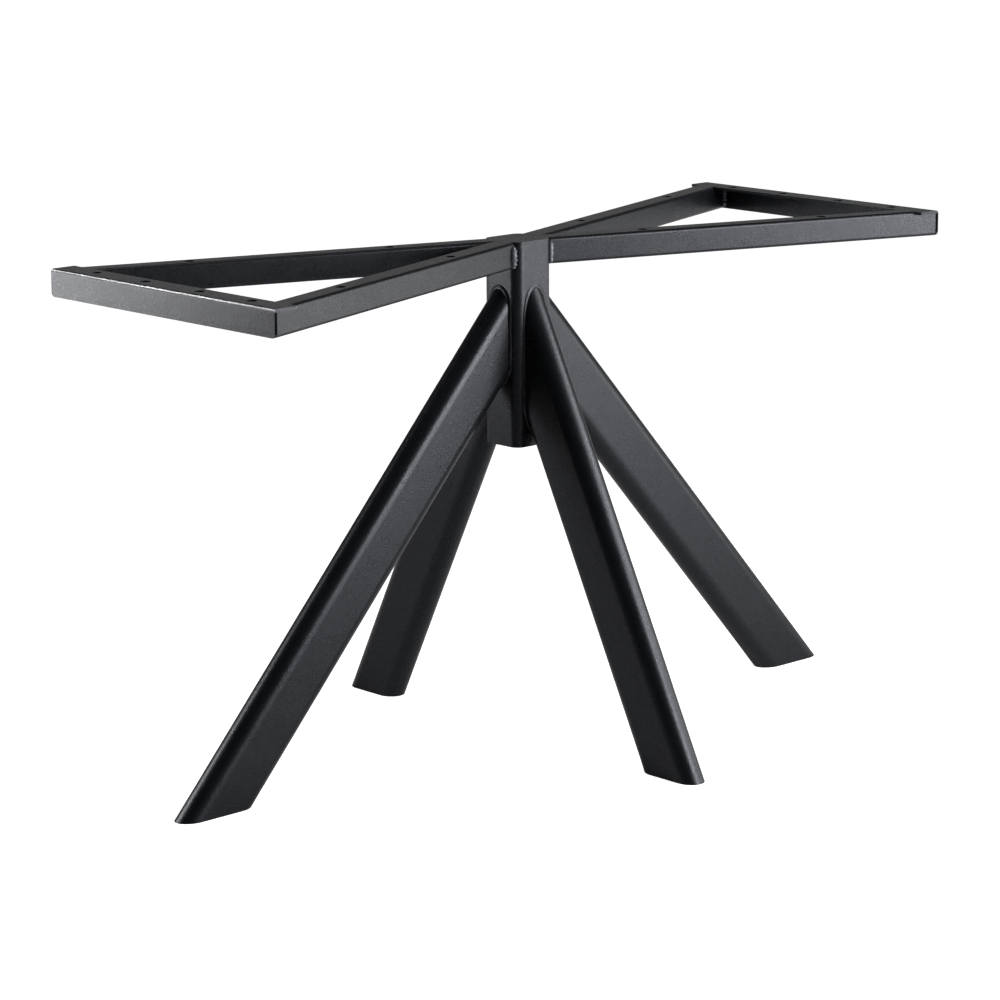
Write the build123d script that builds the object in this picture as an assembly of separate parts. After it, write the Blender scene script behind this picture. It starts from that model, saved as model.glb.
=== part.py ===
from build123d import *
from math import asin, atan2, cos, degrees, hypot, radians, sin
import os

# Welded steel table base: a bow-tie top frame on a short column with four raking legs.
# Millimetres. The floor is z = 0, the column stands on the Z axis, the table's long way is X.

# Overall size
BASE_HEIGHT = 710.0
FRAME_LENGTH = 1250.0
FRAME_WIDTH = 462.0

# Top frame: four arms of rectangular tube between two end bars of angle profile
FRAME_DEPTH = 37.0
ARM_WIDTH = 34.0
ARM_RADIUS = 4.5
ARM_WALL = 2.0
ANGLE_FLANGE = 38.0
ANGLE_THICKNESS = 4.0
ANGLE_EDGE_RADIUS = 5.0
ANGLE_END_RADIUS = 6.0

# Screw holes: through the angle's top flange, and right through the arms. Distances are from the middle.
SCREW_HOLE_RADIUS = 7.0
BAR_HOLE_X = 603.0
BAR_HOLE_DISTANCES = (56.0, 160.0)
ARM_HOLE_DISTANCES = (192.5, 480.0)

# Column: square tube with large corner radii, its top closed by a plate set flush inside it
COLUMN_WIDTH = 70.0
COLUMN_RADIUS = 14.0
COLUMN_WALL = 3.0
COLUMN_LENGTH = 288.0
CAP_THICKNESS = 4.0

# Legs: flat-sided oval tube, stood on edge. Reach is from the Z axis to the leg's centre line at the floor.
LEG_DEPTH = 90.0
LEG_THICKNESS = 40.0
LEG_WALL = 2.5
LONG_LEG_REACH = 558.0
LONG_LEG_SLOPE = 47.87
SHORT_LEG_REACH = 308.0
SHORT_LEG_SLOPE = 63.45

# Sizes that follow from those above
CORNER_X = FRAME_LENGTH / 2
CORNER_Y = FRAME_WIDTH / 2
FRAME_CENTRE_Z = BASE_HEIGHT - FRAME_DEPTH / 2
WEB_INSIDE_X = CORNER_X - ANGLE_THICKNESS
COLUMN_FACE = COLUMN_WIDTH / 2
# An arm's centre line runs through the Z axis and its outer face ends at the frame's corner.
ARM_ANGLE = atan2(CORNER_Y, CORNER_X) - asin(ARM_WIDTH / 2 / hypot(CORNER_X, CORNER_Y))


def rounded_tube(width: float, height: float, radius: float, wall: float) -> Sketch:
    """Section of a rectangular tube with rounded edges inside and out."""
    bore = RectangleRounded(width - 2 * wall, height - 2 * wall, radius - wall)
    return RectangleRounded(width, height, radius) - bore


def oval_tube(depth: float, thickness: float, wall: float) -> Sketch:
    """Section of a flat-sided tube with half-round edges."""
    return SlotOverall(depth, thickness) - SlotOverall(depth - 2 * wall, thickness - 2 * wall)


def cut_beyond(shape: Part, point: tuple, normal: tuple) -> Part:
    """Cut off all that lies beyond the plane through a point, on the side its normal points to."""
    size = 2 * FRAME_LENGTH
    waste = Box(size, size, size, align=(Align.CENTER, Align.CENTER, Align.MIN))
    return shape - Plane(origin=point, z_dir=normal) * waste


def drill(shape: Part, points: list) -> Part:
    """Drill an upright screw hole through an arm or a flange at each X, Y point."""
    for x, y in points:
        shape -= Pos(x, y, FRAME_CENTRE_Z) * Cylinder(SCREW_HOLE_RADIUS, 2 * FRAME_DEPTH)
    return shape


def make_end_bar() -> Part:
    """The end bar at +X: an angle with its web upright outside and its flange level with the frame's top."""
    flange_x = CORNER_X - ANGLE_FLANGE / 2
    flange_z = BASE_HEIGHT - ANGLE_THICKNESS / 2
    web_x = CORNER_X - ANGLE_THICKNESS / 2
    bar = Pos(flange_x, 0, flange_z) * Box(ANGLE_FLANGE, FRAME_WIDTH, ANGLE_THICKNESS)
    bar += Pos(web_x, 0, FRAME_CENTRE_Z) * Box(ANGLE_THICKNESS, FRAME_WIDTH, FRAME_DEPTH)
    edge = bar.edges().filter_by(Axis.Y).sort_by_distance((CORNER_X, 0, BASE_HEIGHT))[0]
    bar = fillet(edge, ANGLE_EDGE_RADIUS)
    toe_z = BASE_HEIGHT - FRAME_DEPTH
    toes = [bar.edges().filter_by(Axis.X).sort_by_distance((web_x, y, toe_z))[0] for y in (-CORNER_Y, CORNER_Y)]
    bar = fillet(toes, ANGLE_END_RADIUS)
    return drill(bar, [(BAR_HOLE_X, side * d) for side in (-1, 1) for d in BAR_HOLE_DISTANCES])


def make_arm() -> Part:
    """The arm to the +X +Y corner, cut to the column's face, to its mirror arm and to fit under the angle."""
    along = (cos(ARM_ANGLE), sin(ARM_ANGLE), 0)
    across = (-sin(ARM_ANGLE), cos(ARM_ANGLE), 0)
    section = Plane(origin=(0, 0, FRAME_CENTRE_Z), x_dir=across, z_dir=along)
    arm = extrude(section * rounded_tube(ARM_WIDTH, FRAME_DEPTH, ARM_RADIUS, ARM_WALL), FRAME_LENGTH)
    arm = cut_beyond(arm, (WEB_INSIDE_X, 0, 0), (1, 0, 0))
    notch = Box(2 * ANGLE_FLANGE, FRAME_WIDTH, 2 * ANGLE_THICKNESS)
    arm -= Pos(CORNER_X, CORNER_Y, BASE_HEIGHT) * notch
    arm = cut_beyond(arm, (COLUMN_FACE, 0, 0), (-1, 0, 0))
    arm = cut_beyond(arm, (0, 0, 0), (0, -1, 0))
    return drill(arm, [(along[0] * d, along[1] * d) for d in ARM_HOLE_DISTANCES])


def make_column() -> Part:
    """The upright column tube, flush with the top of the frame."""
    section = Plane(origin=(0, 0, BASE_HEIGHT - COLUMN_LENGTH))
    return extrude(section * rounded_tube(COLUMN_WIDTH, COLUMN_WIDTH, COLUMN_RADIUS, COLUMN_WALL), COLUMN_LENGTH)


def make_column_cap() -> Part:
    """The plate that closes the column's top from inside."""
    width = COLUMN_WIDTH - 2 * COLUMN_WALL
    outline = RectangleRounded(width, width, COLUMN_RADIUS - COLUMN_WALL)
    return extrude(Plane(origin=(0, 0, BASE_HEIGHT - CAP_THICKNESS)) * outline, CAP_THICKNESS)


def make_leg(reach: float, slope: float) -> Part:
    """A leg that rakes out towards +X, cut flat at the floor and upright at the column's face."""
    rise = (-cos(radians(slope)), 0, sin(radians(slope)))
    wide = (sin(radians(slope)), 0, cos(radians(slope)))
    spare = 2 * LEG_DEPTH
    start = (reach - spare * rise[0], 0, -spare * rise[2])
    section = Plane(origin=start, x_dir=wide, z_dir=rise)
    leg = extrude(section * oval_tube(LEG_DEPTH, LEG_THICKNESS, LEG_WALL), 2 * BASE_HEIGHT)
    leg = cut_beyond(leg, (0, 0, 0), (0, 0, -1))
    return cut_beyond(leg, (COLUMN_FACE, 0, 0), (-1, 0, 0))


end_bar = make_end_bar()
arm = make_arm()
front_arm = mirror(arm, about=Plane.XZ)
long_leg = make_leg(LONG_LEG_REACH, LONG_LEG_SLOPE)
short_leg = Rot(0, 0, 90) * make_leg(SHORT_LEG_REACH, SHORT_LEG_SLOPE)

pieces = {
    "column": make_column(),
    "column_cap": make_column_cap(),
    "end_bar_right": end_bar,
    "end_bar_left": mirror(end_bar, about=Plane.YZ),
    "arm_back_right": arm,
    "arm_back_left": mirror(arm, about=Plane.YZ),
    "arm_front_right": front_arm,
    "arm_front_left": mirror(front_arm, about=Plane.YZ),
    "leg_right": long_leg,
    "leg_left": mirror(long_leg, about=Plane.YZ),
    "leg_back": short_leg,
    "leg_front": mirror(short_leg, about=Plane.XZ),
}

os.makedirs("parts", exist_ok=True)
for node, shape in pieces.items():
    export_step(shape, f"parts/{node}.step")
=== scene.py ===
import logging
import math
import random
from dataclasses import dataclass
from enum import Enum

import bpy
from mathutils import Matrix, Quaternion, Vector


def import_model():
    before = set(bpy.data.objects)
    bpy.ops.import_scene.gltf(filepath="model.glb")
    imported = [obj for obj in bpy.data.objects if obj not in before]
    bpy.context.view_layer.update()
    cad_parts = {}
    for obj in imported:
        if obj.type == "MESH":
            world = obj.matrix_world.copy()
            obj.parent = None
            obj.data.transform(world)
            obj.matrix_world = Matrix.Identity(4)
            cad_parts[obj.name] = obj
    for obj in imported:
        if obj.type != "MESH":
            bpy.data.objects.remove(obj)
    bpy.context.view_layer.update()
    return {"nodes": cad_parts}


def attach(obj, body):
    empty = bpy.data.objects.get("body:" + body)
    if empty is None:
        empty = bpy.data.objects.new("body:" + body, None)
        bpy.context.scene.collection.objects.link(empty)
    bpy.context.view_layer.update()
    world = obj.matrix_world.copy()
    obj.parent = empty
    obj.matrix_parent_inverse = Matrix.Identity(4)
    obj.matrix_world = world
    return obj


LOG = logging.getLogger("table_base")
MM = 0.001
BODY = "root"
# Nearly all of a noise texture's values lie between these two.
NOISE_LOW = 0.3
NOISE_HIGH = 0.7
# A softened edge: its facets, and the least bend in degrees that counts as an edge.
EDGE_FACETS = 3
EDGE_BEND = 40


class Side(Enum):
    """The four ways a leg can face, as signs along X and Y."""

    LEFT = (-1, 0)
    RIGHT = (1, 0)
    FRONT = (0, -1)
    BACK = (0, 1)


def linear(hex_colour: str) -> tuple[float, ...]:
    """Turn an sRGB hex colour into linear RGBA.

    Args:
        hex_colour: six hex digits after a hash sign.

    Returns:
        Red, green, blue and alpha as linear numbers.
    """
    values = [int(hex_colour[i:i + 2], 16) / 255 for i in (1, 3, 5)]
    linear_values = (v / 12.92 if v <= 0.04045 else ((v + 0.055) / 1.055) ** 2.4 for v in values)
    return (*linear_values, 1.0)


def add_node(tree: bpy.types.NodeTree, kind: str, inputs: dict | None = None,
             **settings) -> bpy.types.Node:
    """Add a node with its settings, input values and links.

    Args:
        tree: the node tree it goes into.
        kind: Blender's name of the node type.
        inputs: input name or number to a plain value, or to the output socket that feeds it.
        settings: the node's own properties.

    Returns:
        The new node.
    """
    node = tree.nodes.new(kind)
    for name, value in settings.items():
        setattr(node, name, value)
    for key, value in (inputs or {}).items():
        if isinstance(value, bpy.types.NodeSocket):
            tree.links.new(value, node.inputs[key])
        else:
            node.inputs[key].default_value = value
    return node


def fresh_material(name: str) -> bpy.types.Material:
    """Make a material with an empty node tree.

    Args:
        name: the material's name.

    Returns:
        The new material.
    """
    material = bpy.data.materials.new(name)
    material.use_nodes = True
    material.node_tree.nodes.clear()
    return material


def stretch(tree: bpy.types.NodeTree, value: bpy.types.NodeSocket, low: float, high: float,
            start: float = NOISE_LOW, end: float = NOISE_HIGH) -> bpy.types.NodeSocket:
    """Stretch a texture's values to a wanted range.

    Args:
        tree: the node tree.
        value: the texture's output.
        low: what its values from start down turn into.
        high: what its values from end up turn into.
        start: the texture's value that turns into low.
        end: the texture's value that turns into high.

    Returns:
        The stretched value's socket.
    """
    return add_node(tree, "ShaderNodeMapRange", {
        "Value": value, "From Min": start, "From Max": end,
        "To Min": low, "To Max": high}).outputs["Result"]


def combine(tree: bpy.types.NodeTree, operation: str, first: object,
            second: object = 0.0) -> bpy.types.NodeSocket:
    """Work out one value from two.

    Args:
        tree: the node tree.
        operation: Blender's name of the sum, such as ADD or MULTIPLY.
        first: a plain value or a socket.
        second: a plain value or a socket.

    Returns:
        The result's socket.
    """
    return add_node(tree, "ShaderNodeMath", {0: first, 1: second}, operation=operation).outputs[0]


@dataclass(frozen=True)
class PowderCoat:
    """Polyester powder coat, sprayed dry on steel and baked: a fine-textured satin black skin.

    The powder flows out into a pebbled film, so it gives the eye a soft grey sheen with a faint
    sparkle of grain where a light glances off it, and a deep black where none does.
    """

    name: str
    colour: str
    roughness: float
    specular: float
    grain: float
    sheen_tint: str = "#f1f5ff"
    grain_mm: float = 0.3
    pebble_mm: float = 1.3
    fleck_mm: float = 2.21
    fleck_gain: float = 1.55
    fleck_gloss: float = 0.05
    facet_mm: float = 1.5
    sparkle: float = 0.18
    cloud_mm: float = 34.0
    cloud_gloss: float = 0.025
    painted_shade_beyond: float | None = None
    painted_shade_below: float = 0.0

    def build(self) -> bpy.types.Material:
        """Make the material.

        Returns:
            The new material.
        """
        material = fresh_material(self.name)
        tree = material.node_tree
        place = add_node(tree, "ShaderNodeTexCoord").outputs["Object"]
        # The real pebbles are about 0.3 mm. They are drawn about four times as coarse, so that
        # they show in the picture.
        pebble = self.noise(tree, place, self.pebble_mm, 1.0)
        fleck = self.noise(tree, place, self.fleck_mm, 2.0)
        cloud = self.noise(tree, place, self.cloud_mm, 2.0)
        # Each pebble of powder lies at its own small tilt, so a few flash and a few stay dark.
        facet = add_node(tree, "ShaderNodeTexVoronoi", {
            "Vector": place, "Scale": 1 / (self.facet_mm * MM)}, feature="F1")
        tone = add_node(tree, "ShaderNodeSeparateColor", {"Color": facet.outputs["Color"]})
        sheen = stretch(tree, tone.outputs["Red"], self.specular * (1 - self.sparkle),
                        self.specular * (1 + self.sparkle), 0.0, 1.0)
        # Painted shade: no sheen on the web's cut ends, so they read as the dark gap line at each
        # corner.
        if self.painted_shade_beyond is not None:
            sheen = combine(tree, "MULTIPLY", sheen, self.outside_painted_shade(tree, place))
        dark = linear(self.colour)
        colour = add_node(tree, "ShaderNodeMix", {
            "Factor": stretch(tree, fleck, 0.0, 1.0), "A": dark,
            "B": (*(c * self.fleck_gain for c in dark[:3]), 1.0)}, data_type="RGBA")
        gloss = stretch(tree, fleck, self.roughness + self.fleck_gloss,
                        self.roughness - self.fleck_gloss)
        drift = stretch(tree, cloud, -self.cloud_gloss, self.cloud_gloss)
        rough = combine(tree, "ADD", gloss, drift)
        bump = add_node(tree, "ShaderNodeBump", {
            "Height": pebble, "Strength": self.grain, "Distance": self.grain_mm * MM})
        shader = add_node(tree, "ShaderNodeBsdfPrincipled", {
            "Base Color": colour.outputs["Result"], "Roughness": rough, "IOR": 1.5,
            "Specular IOR Level": sheen, "Specular Tint": linear(self.sheen_tint),
            "Normal": bump.outputs["Normal"]})
        add_node(tree, "ShaderNodeOutputMaterial", {"Surface": shader.outputs["BSDF"]})
        return material

    def noise(self, tree: bpy.types.NodeTree, place: bpy.types.NodeSocket, size_mm: float,
              detail: float) -> bpy.types.NodeSocket:
        """Add a noise whose blots have a real size in millimetres."""
        return add_node(tree, "ShaderNodeTexNoise", {
            "Vector": place, "Scale": 1 / (size_mm * MM), "Detail": detail}).outputs["Fac"]

    def outside_painted_shade(self, tree: bpy.types.NodeTree,
               place: bpy.types.NodeSocket) -> bpy.types.NodeSocket:
        """Tell the web's cut ends from the rest: their sheen is cut to nothing there, a painted
        shade that draws the dark gap line at the frame's corners.

        Args:
            tree: the node tree.
            place: the socket with the place on the piece.

        Returns:
            A socket that gives 0 on the web's painted-shade ends and 1 elsewhere.
        """
        spot = add_node(tree, "ShaderNodeSeparateXYZ", {"Vector": place})
        aside = combine(tree, "ABSOLUTE", spot.outputs["Y"])
        before_end = combine(tree, "LESS_THAN", aside, self.painted_shade_beyond)
        above_end = combine(tree, "GREATER_THAN", spot.outputs["Z"], self.painted_shade_below)
        return combine(tree, "MAXIMUM", before_end, above_end)


@dataclass(frozen=True)
class StudioFloor:
    """Seamless studio paper: matt and pale, with the object's soft shadow on it.

    It is plain white in the picture, a little less so round the object, so that the shadow shows
    there. The black coat mirrors that white only where the backdrop is, behind the object. The
    rest of the studio is unlit, and gives the coat its deep blacks.
    """

    name: str = "seamless_paper"
    colour: str = "#cfcfcf"
    near_glow: float = 0.86
    far_glow: float = 1.0
    near_reach: float = 1.2
    far_reach: float = 5.0
    backdrop_way: tuple = (0.681, 0.732, 0.0)
    backdrop_start: float = 1.2
    backdrop_full: float = 2.6
    fibre_mm: float = 2.5
    fibre_depth_mm: float = 0.1
    fibre_strength: float = 0.05

    def build(self) -> bpy.types.Material:
        """Make the material.

        Returns:
            The new material.
        """
        material = fresh_material(self.name)
        tree = material.node_tree
        place = add_node(tree, "ShaderNodeTexCoord").outputs["Object"]
        fibre = add_node(tree, "ShaderNodeTexNoise", {
            "Vector": place, "Scale": 1 / (self.fibre_mm * MM), "Detail": 2.0})
        bump = add_node(tree, "ShaderNodeBump", {
            "Height": fibre.outputs["Fac"], "Strength": self.fibre_strength,
            "Distance": self.fibre_depth_mm * MM})
        paper = add_node(tree, "ShaderNodeBsdfDiffuse", {
            "Color": linear(self.colour), "Normal": bump.outputs["Normal"]})
        away = add_node(tree, "ShaderNodeVectorMath", {0: place}, operation="LENGTH")
        bright = add_node(tree, "ShaderNodeMapRange", {
            "Value": away.outputs["Value"], "From Min": self.near_reach,
            "From Max": self.far_reach, "To Min": self.near_glow, "To Max": self.far_glow},
            interpolation_type="SMOOTHSTEP")
        behind = add_node(tree, "ShaderNodeVectorMath", {
            0: place, 1: self.backdrop_way}, operation="DOT_PRODUCT")
        backdrop = add_node(tree, "ShaderNodeMapRange", {
            "Value": behind.outputs["Value"], "From Min": self.backdrop_start,
            "From Max": self.backdrop_full, "To Min": 0.0, "To Max": 1.0},
            interpolation_type="SMOOTHSTEP")
        path = add_node(tree, "ShaderNodeLightPath")
        mirrored = combine(
            tree, "MULTIPLY", path.outputs["Is Glossy Ray"], backdrop.outputs["Result"])
        seen = combine(tree, "MAXIMUM", path.outputs["Is Camera Ray"], mirrored)
        seen = combine(tree, "MAXIMUM", seen, path.outputs["Is Transmission Ray"])
        level = combine(tree, "MULTIPLY", seen, bright.outputs["Result"])
        glow = add_node(tree, "ShaderNodeEmission", {"Strength": level})
        both = add_node(tree, "ShaderNodeAddShader", {0: paper.outputs[0], 1: glow.outputs[0]})
        add_node(tree, "ShaderNodeOutputMaterial", {"Surface": both.outputs[0]})
        return material


@dataclass
class WeldBead:
    """A run of weld metal: a row of overlapping puddles along a path, half sunk in the joint.

    Its radius drops to the valley's share of it between two puddles, and to the tip's share of it
    at both ends.
    """

    name: str
    path: list[tuple[float, float, float]]
    radius: float
    pitch: float
    unevenness: float
    seed: int
    step: float = 0.8 * MM
    sides: int = 10
    valley: float = 0.86
    tip: float = 0.35
    wobble_steps: int = 3

    def points(self) -> list[Vector]:
        """Spread points evenly along the path.

        Returns:
            The points, from one end to the other.
        """
        corners = [Vector(p) for p in self.path]
        spread = []
        for a, b in zip(corners, corners[1:]):
            count = max(1, round((b - a).length / self.step))
            spread += [a.lerp(b, i / count) for i in range(count)]
        return spread + [corners[-1]]

    def build(self, finish: bpy.types.Material) -> bpy.types.Object:
        """Make the bead's mesh.

        Args:
            finish: the material that coats it.

        Returns:
            The new object, riding on the welded base.
        """
        noise = random.Random(self.seed)
        spine = self.points()
        last = len(spine) - 1
        verts, faces = [], []
        phase = noise.uniform(0, math.tau)
        wobble = [noise.uniform(-1, 1) for _ in range(len(spine) // self.wobble_steps + 3)]
        side = None
        run = 0.0
        for i, p in enumerate(spine):
            along = (spine[min(last, i + 1)] - spine[max(0, i - 1)]).normalized()
            if side is None:
                side = along.orthogonal().normalized()
            side = (side - along * side.dot(along)).normalized()
            up = along.cross(side)
            run += (p - spine[i - 1]).length if i else 0.0
            puddle = self.valley + (1 - self.valley) * abs(
                math.sin(math.pi * run / self.pitch + phase))
            knot, part = divmod(i, self.wobble_steps)
            drift = wobble[knot] + (wobble[knot + 1] - wobble[knot]) * part / self.wobble_steps
            end = min(1.0, self.tip + (1 - self.tip) * min(i, last - i) * self.step / self.radius)
            radius = self.radius * puddle * (1 + self.unevenness * drift) * end
            for k in range(self.sides):
                turn = math.tau * k / self.sides
                verts.append(p + (side * math.cos(turn) + up * math.sin(turn)) * radius)
        for here in range(0, last * self.sides, self.sides):
            there = here + self.sides
            for k in range(self.sides):
                after_k = (k + 1) % self.sides
                faces.append((here + k, here + after_k, there + after_k, there + k))
        faces.append(tuple(reversed(range(self.sides))))
        faces.append(tuple(last * self.sides + k for k in range(self.sides)))
        return make_piece(self.name, verts, faces, finish)


def make_piece(name: str, verts: list, faces: list,
               finish: bpy.types.Material) -> bpy.types.Object:
    """Make a smooth mesh object that belongs to the base.

    Args:
        name: the piece's name.
        verts: corner points in metres.
        faces: corner numbers of each face.
        finish: its material.

    Returns:
        The new object.
    """
    mesh = bpy.data.meshes.new(name)
    mesh.from_pydata([tuple(v) for v in verts], [], faces)
    mesh.validate()
    mesh.shade_smooth()
    mesh.materials.append(finish)
    piece = bpy.data.objects.new(name, mesh)
    bpy.context.scene.collection.objects.link(piece)
    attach(piece, BODY)
    LOG.info("%s: %d faces", name, len(faces))
    return piece


def corner_name(sx: int, sy: int) -> str:
    """Name one of the frame's corners from its signs along X and Y."""
    return f"{'back' if sy > 0 else 'front'}_{'right' if sx > 0 else 'left'}"


def dress(node: bpy.types.Object, finish: bpy.types.Material, edge: float) -> None:
    """Coat a tube and soften the edges of its cuts and holes.

    Args:
        node: the tube or plate from the frame.
        finish: its material.
        edge: width of the softened edge in metres, as powder builds up over a cut edge.
    """
    node.data.materials.clear()
    node.data.materials.append(finish)
    bevel = node.modifiers.new("coated_edges", "BEVEL")
    bevel.width = edge
    bevel.segments = EDGE_FACETS
    bevel.limit_method = "ANGLE"
    bevel.angle_limit = math.radians(EDGE_BEND)
    bevel.use_clamp_overlap = True
    bevel.harden_normals = False
    LOG.info("%s dressed", node.name)


@dataclass(frozen=True)
class BeadForm:
    """The form of an upright bead, and where it stands beside the two faces that it joins.

    Aside is how far it stands along X from the face it runs down, out is how far along Y, and low
    and top are how far it keeps from the joint's lower and upper ends.
    """

    radius: float
    unevenness: float
    pitch: float
    aside: float
    out: float
    low: float
    top: float


@dataclass
class TopFrame:
    """The bow-tie frame: four tube arms, two angle end bars and the welds that hold them."""

    height: float = 710 * MM
    depth: float = 37 * MM
    arm_width: float = 34 * MM
    corner_x: float = 625 * MM
    corner_y: float = 231 * MM
    angle_thickness: float = 4 * MM
    column_face: float = 35 * MM
    arm_edge: float = 0.5 * MM
    bar_edge: float = 1.3 * MM
    arm_bead: BeadForm = BeadForm(
        4.2 * MM, 0.12, 8.0 * MM, aside=-2.0 * MM, out=1.6 * MM, low=1.5 * MM, top=4.2 * MM)
    # The photograph shows this one bead thicker, lumpier and a little up the arm.
    front_left_bead: BeadForm = BeadForm(
        5.2 * MM, 0.34, 8.0 * MM, aside=2.2 * MM, out=1.6 * MM, low=1.5 * MM, top=5.2 * MM)
    corner_bead: BeadForm = BeadForm(
        3.6 * MM, 0.3, 4.8 * MM, aside=-1.6 * MM, out=-1.8 * MM, low=2.0 * MM, top=6.0 * MM)

    @property
    def arm_angle(self) -> float:
        """Angle of an arm from the X axis, in radians."""
        return math.atan2(self.corner_y, self.corner_x) - math.asin(
            self.arm_width / 2 / math.hypot(self.corner_x, self.corner_y))

    def arm_side(self, x: float, outer: bool) -> float:
        """Find where one side of an arm is, above a place along the frame.

        Args:
            x: distance from the column's axis along X, in metres.
            outer: the side away from the table's middle line, or the one towards it.

        Returns:
            Its distance from the table's middle line along Y, in metres.
        """
        half = self.arm_width / 2 if outer else -self.arm_width / 2
        return (x * math.sin(self.arm_angle) + half) / math.cos(self.arm_angle)

    def upright_weld(self, name: str, form: BeadForm, x: float, y: float, seed: int,
                     finish: bpy.types.Material) -> None:
        """Run a bead up the frame's depth at one place.

        Args:
            name: the bead's name.
            form: its thickness, its unevenness and how far it keeps from the joint's ends.
            x: its place in metres.
            y: its place in metres.
            seed: starts its unevenness.
            finish: its material.
        """
        low, top = self.height - self.depth + form.low, self.height - form.top
        WeldBead(name, [(x, y, low), (x, y, top)], form.radius, form.pitch, form.unevenness,
                 seed).build(finish)

    def build(self, nodes: dict[str, bpy.types.Object], coat: bpy.types.Material,
              angle: bpy.types.Material, weld: bpy.types.Material) -> None:
        """Dress the tubes and the angles, and weld each arm at both of its ends.

        Args:
            nodes: the frame's nodes by name.
            coat: the tubes' finish.
            angle: the end bars' finish.
            weld: the beads' finish.
        """
        for name, node in nodes.items():
            if name.startswith("arm_"):
                dress(node, coat, self.arm_edge)
            elif name.startswith("end_bar_"):
                dress(node, angle, self.bar_edge)
        web = self.corner_x - self.angle_thickness
        for sx in (-1, 1):
            for sy in (-1, 1):
                corner = corner_name(sx, sy)
                bead = self.front_left_bead if corner == "front_left" else self.arm_bead
                self.upright_weld(
                    f"arm_weld_{corner}", bead, sx * (self.column_face + bead.aside),
                    sy * (self.arm_side(self.column_face, True) + bead.out),
                    11 + 2 * sx + sy, weld)
                bead = self.corner_bead
                self.upright_weld(
                    f"corner_weld_{corner}", bead, sx * (web + bead.aside),
                    sy * (self.arm_side(web, False) + bead.out), 31 + 2 * sx + sy, weld)


@dataclass
class Column:
    """The upright tube and the plate that closes its top."""

    edge: float = 0.6 * MM

    def build(self, nodes: dict[str, bpy.types.Object], coat: bpy.types.Material) -> None:
        """Dress the tube and its cap."""
        for name in ("column", "column_cap"):
            dress(nodes[name], coat, self.edge)


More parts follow.
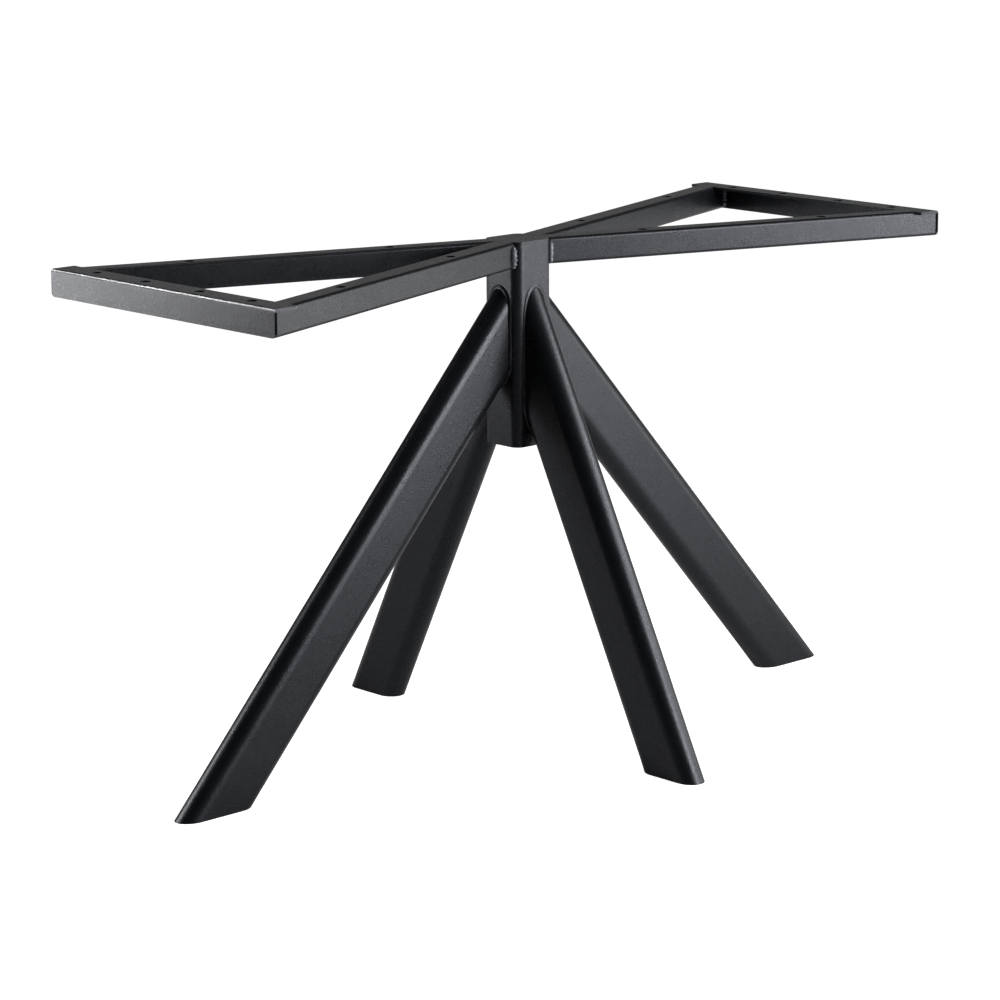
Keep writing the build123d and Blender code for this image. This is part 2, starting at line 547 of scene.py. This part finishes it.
@dataclass
class Legs:
    """The four raking legs and the fillet weld round the top of each."""

    depth: float = 90 * MM
    thickness: float = 40 * MM
    column_face: float = 35 * MM
    column_radius: float = 14 * MM
    long_reach: float = 558 * MM
    long_slope: float = 47.87
    short_reach: float = 308 * MM
    short_slope: float = 63.45
    edge: float = 0.6 * MM
    fillet: float = 3.8 * MM
    bulge: float = 0.5
    lumps: float = 0.09
    low_lumps: float = 0.234
    low_turn: float = -0.3
    around: int = 260
    knot_steps: int = 5
    bands: int = 5
    sunk: float = 0.4 * MM
    root: float = 1.0 * MM

    def column_depth(self, across: float) -> float:
        """Find how far out the column's surface is.

        Args:
            across: distance from the middle of the column's face, in metres.

        Returns:
            The surface's distance from the column's axis, in metres.
        """
        flat = self.column_face - self.column_radius
        past = max(0.0, abs(across) - flat)
        return flat + math.sqrt(max(0.0, self.column_radius ** 2 - past ** 2))

    def fillet_ring(self, turn: float, slope: float, centre: float, size: float) -> list[Vector]:
        """Find the points across the fillet, from the column's face to the leg's surface.

        Args:
            turn: how far round the leg, in radians, from 0 at one flat side.
            slope: the leg's slope in radians.
            centre: height at which the leg's centre line meets the column's face.
            size: the fillet's leg length in metres.

        Returns:
            Points as out, across and up, in metres.
        """
        nose = self.thickness / 2
        straight = (self.depth - self.thickness) / 2
        half = straight + math.pi * nose / 2
        run = (turn / math.tau * 4 * half) % (4 * half)
        # Round the section: half of a flat side, a nose, a flat side, the other nose and half of a
        # flat side.
        end = 1 if run < 2 * half else -1
        run = run % (2 * half)
        if run < straight:
            across, wide, n_across, n_wide = nose, run, 1.0, 0.0
        elif run < straight + math.pi * nose:
            bend = (run - straight) / nose
            n_across, n_wide = math.cos(bend), math.sin(bend)
            across, wide = nose * n_across, straight + nose * n_wide
        else:
            across, wide, n_across, n_wide = -nose, 2 * half - run, -1.0, 0.0
        across, wide, n_across, n_wide = (end * v for v in (across, wide, n_across, n_wide))
        up = centre + wide / math.cos(slope)
        face_n = Vector((0.0, n_across, n_wide * math.cos(slope))).normalized()
        joint = Vector((self.column_face, across, up))
        toe = joint + face_n * size
        toe.x = self.column_depth(toe.y) - self.sunk
        inward = Vector((0.0, n_across, n_wide * math.cos(slope))) * self.sunk
        down_leg = Vector((math.cos(slope), 0.0, -math.sin(slope)))
        crown = joint + down_leg * size - inward
        back = joint - Vector((self.root, 0.0, 0.0)) - face_n * self.root
        lift = (toe + crown) / 2 - joint
        steps = [i / self.bands for i in range(self.bands + 1)]
        return [back] + [toe.lerp(crown, t) + lift * self.bulge * 4 * t * (1 - t) for t in steps]

    def leg_weld(self, side: Side, seed: int, finish: bpy.types.Material) -> None:
        """Run a fillet weld round the top of a leg, even above and lumpier where it ends below.

        Args:
            side: the way the leg faces.
            seed: starts its unevenness.
            finish: the weld's material.
        """
        sx, sy = side.value
        reach = self.long_reach if sx else self.short_reach
        slope = math.radians(self.long_slope if sx else self.short_slope)
        centre = (reach - self.column_face) * math.tan(slope)
        noise = random.Random(seed)
        knots = [noise.uniform(-1, 1) for _ in range(self.around // self.knot_steps)]
        verts, faces = [], []
        for i in range(self.around):
            turn = math.tau * i / self.around
            spot = i / self.knot_steps
            a, b = knots[int(spot) % len(knots)], knots[(int(spot) + 1) % len(knots)]
            ease = (1 - math.cos(math.pi * (spot % 1))) / 2
            rough = self.lumps if math.sin(turn) > self.low_turn else self.low_lumps
            size = self.fillet * (1 + rough * (a + (b - a) * ease))
            for out, across, up in self.fillet_ring(turn, slope, centre, size):
                verts.append((out * sx, across, up) if sx else (across, out * sy, up))
        across_count = len(verts) // self.around
        for i in range(self.around):
            here, there = i * across_count, (i + 1) % self.around * across_count
            for k in range(across_count):
                after_k = (k + 1) % across_count
                corners = (here + k, here + after_k, there + after_k, there + k)
                faces.append(corners if sx + sy > 0 else tuple(reversed(corners)))
        make_piece(f"leg_weld_{side.name.lower()}", verts, faces, finish)

    def build(self, nodes: dict[str, bpy.types.Object], coat: bpy.types.Material,
              weld: bpy.types.Material) -> None:
        """Dress the legs and add the weld round each.

        Args:
            nodes: the frame's nodes by name.
            coat: the legs' finish.
            weld: the fillets' finish.
        """
        for seed, side in enumerate(Side):
            dress(nodes[f"leg_{side.name.lower()}"], coat, self.edge)
            self.leg_weld(side, seed, weld)


@dataclass
class Softbox:
    """A square lamp behind white cloth, aimed at a point."""

    name: str
    place: tuple
    aim: tuple
    width: float
    height: float
    power: float
    spread: float = 180.0

    def build(self) -> bpy.types.Object:
        """Make the lamp.

        Returns:
            The lamp's object.
        """
        lamp = bpy.data.lights.new(self.name, "AREA")
        lamp.shape = "RECTANGLE"
        lamp.size, lamp.size_y = self.width, self.height
        lamp.energy = self.power
        lamp.spread = math.radians(self.spread)
        thing = bpy.data.objects.new(self.name, lamp)
        thing.location = self.place
        thing.rotation_mode = "QUATERNION"
        way = Vector(self.aim) - Vector(self.place)
        thing.rotation_quaternion = way.to_track_quat("-Z", "Y")
        bpy.context.scene.collection.objects.link(thing)
        LOG.info("%s lit", self.name)
        return thing


@dataclass
class Studio:
    """Floor, lamps, world and camera."""

    floor_reach: float = 60.0
    floor_gap: float = 0.2 * MM
    sight: float = 200.0
    fill: float = 0.04
    azimuth: float = 42.9418
    elevation: float = 12.5204
    roll: float = 0.3334
    camera_place: tuple = (-3.29114, -3.49767, 1.40467)
    lens: float = 125.743
    sensor: float = 36.0

    def lamps(self) -> list[Softbox]:
        """List the lamps.

        Returns:
            The softboxes in the order they are set up.
        """
        middle = (0.0, 0.0, 0.4)
        return [
            Softbox("front_softbox_low", (1.30, -2.25, 0.45), middle, 0.8, 0.8, 36.0),
            Softbox("front_softbox", (0.67, -2.51, 1.1), middle, 0.8, 0.8, 63.0),
            Softbox("front_softbox_high", (1.30, -2.25, 1.8), middle, 0.8, 0.8, 26.0),
            Softbox("side_softbox", (1.93, -1.74, 1.65), middle, 0.7, 0.7, 36.0),
            Softbox("left_panel", (-1.22, 1.15, 0.70), (-0.625, 0.05, 0.69), 0.6, 0.6, 14.5),
            # A grid keeps this one on the left end bar, where it lights the line along its edge.
            Softbox("left_strip_high", (-1.0, 1.25, 1.65), (-0.74, 0.06, 0.83), 0.5, 0.4, 0.9,
                    spread=14.0),
            Softbox("right_panel", (1.5, -0.9, 0.6), (0.5, -0.1, 0.6), 0.9, 0.9, 11.0),
            Softbox("back_left_softbox", (-1.60, 2.05, 1.7), middle, 0.8, 0.8, 14.0),
            Softbox("top_softbox", (0.0, 0.0, 3.0), middle, 1.5, 1.5, 14.0),
            Softbox("back_panel", (2.10, 2.25, 1.45), (0.0, 0.0, 0.7), 3.0, 0.8, 2.8),
        ]

    def build(self) -> None:
        """Set up everything round the object."""
        reach = self.floor_reach
        mesh = bpy.data.meshes.new("studio_floor")
        corners = [(-reach, -reach), (reach, -reach), (reach, reach), (-reach, reach)]
        mesh.from_pydata([(x, y, -self.floor_gap) for x, y in corners], [], [(0, 1, 2, 3)])
        mesh.materials.append(StudioFloor().build())
        floor = bpy.data.objects.new("studio_floor", mesh)
        bpy.context.scene.collection.objects.link(floor)
        for lamp in self.lamps():
            lamp.build()
        world = bpy.data.worlds.new("studio_air")
        world.use_nodes = True
        world.node_tree.nodes.clear()
        # White where the camera sees past the floor, and a faint fill for everything else.
        tree = world.node_tree
        path = add_node(tree, "ShaderNodeLightPath")
        seen = combine(tree, "MAXIMUM", path.outputs["Is Camera Ray"],
                       path.outputs["Is Transmission Ray"])
        air = add_node(tree, "ShaderNodeBackground", {
            "Color": (1.0, 1.0, 1.0, 1.0), "Strength": combine(tree, "MAXIMUM", seen, self.fill)})
        add_node(tree, "ShaderNodeOutputWorld", {"Surface": air.outputs[0]})
        bpy.context.scene.world = world
        self.set_camera()

    def set_camera(self) -> None:
        """Put the camera where the photograph was taken from."""
        data = bpy.data.cameras.new("view")
        data.lens = self.lens
        data.sensor_width = self.sensor
        data.sensor_fit = "HORIZONTAL"
        data.clip_end = self.sight
        camera = bpy.data.objects.new("view", data)
        a, e = math.radians(self.azimuth), math.radians(self.elevation)
        back = Vector((-math.sin(a) * math.cos(e), -math.cos(a) * math.cos(e), math.sin(e)))
        camera.location = self.camera_place
        camera.rotation_mode = "QUATERNION"
        camera.rotation_quaternion = (-back).to_track_quat("-Z", "Y") @ Quaternion(
            (0.0, 0.0, 1.0), -math.radians(self.roll))
        bpy.context.scene.collection.objects.link(camera)
        bpy.context.scene.camera = camera


def main() -> None:
    """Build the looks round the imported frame."""
    logging.basicConfig(level=logging.INFO, format="%(message)s")
    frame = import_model()
    bpy.context.scene.view_settings.view_transform = "Standard"
    coat = PowderCoat("textured_powder_coat", "#08090b", 0.31, 0.22, 0.68).build()
    # The weld's lighter grey is painted highlight: it stands in for the glints its lumps catch,
    # which the black coat's own sheen does not give here.
    weld = PowderCoat("weld_metal_painted_glint_grey", "#34363a", 0.42, 0.5, 0.3).build()
    fillet = PowderCoat("coated_leg_weld", "#0a0b0d", 0.34, 0.2, 0.4).build()
    # The angle's web ends get painted shade: their sheen is taken away to draw the dark gap line
    # at the corners.
    angle = PowderCoat("powder_coated_angle", "#08090b", 0.31, 0.22, 0.68,
                       painted_shade_beyond=230.9 * MM, painted_shade_below=705.5 * MM).build()
    nodes = frame["nodes"]
    TopFrame().build(nodes, coat, angle, weld)
    Column().build(nodes, coat)
    Legs().build(nodes, coat, fillet)
    Studio().build()


if __name__ == "__main__":
    main()
